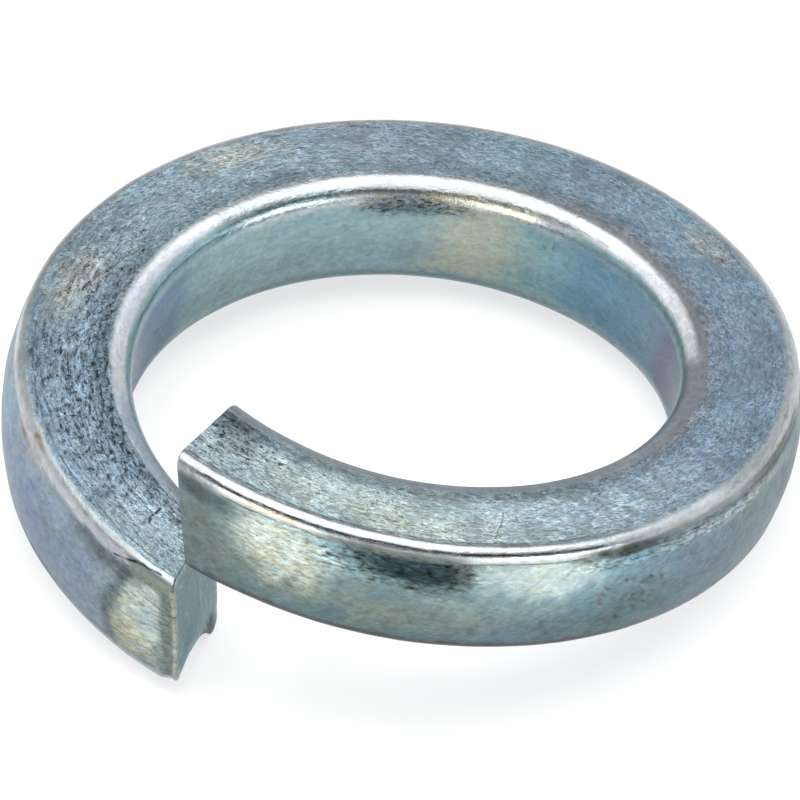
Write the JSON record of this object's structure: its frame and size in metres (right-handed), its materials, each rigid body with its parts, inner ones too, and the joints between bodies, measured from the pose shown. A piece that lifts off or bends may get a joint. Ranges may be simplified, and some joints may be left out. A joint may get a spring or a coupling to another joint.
{
  "type": "spring lock washer",
  "caption": "Split spring washer of square wire, its two cut ends sprung apart along the axis, with a plain round bore.",
  "frame": {"origin": "on the axis of the bore, at the level of the washer's lowest point, which is the nib of the low end, beside the bore", "axes": "+Z along the axis of the bore, towards the screw head or nut; the split faces -Y, and the wire climbs clockwise seen from above"},
  "size_m": [0.0154, 0.0153, 0.0054],
  "materials": {
    "zinc_plated_steel": "bright zinc plate, blue-grey and slightly iridescent, finely pitted on the flat faces and smooth on the rounded edges"
  },
  "bodies": {
    "root": {"washer": "zinc_plated_steel"}
  },
  "joints": []
}
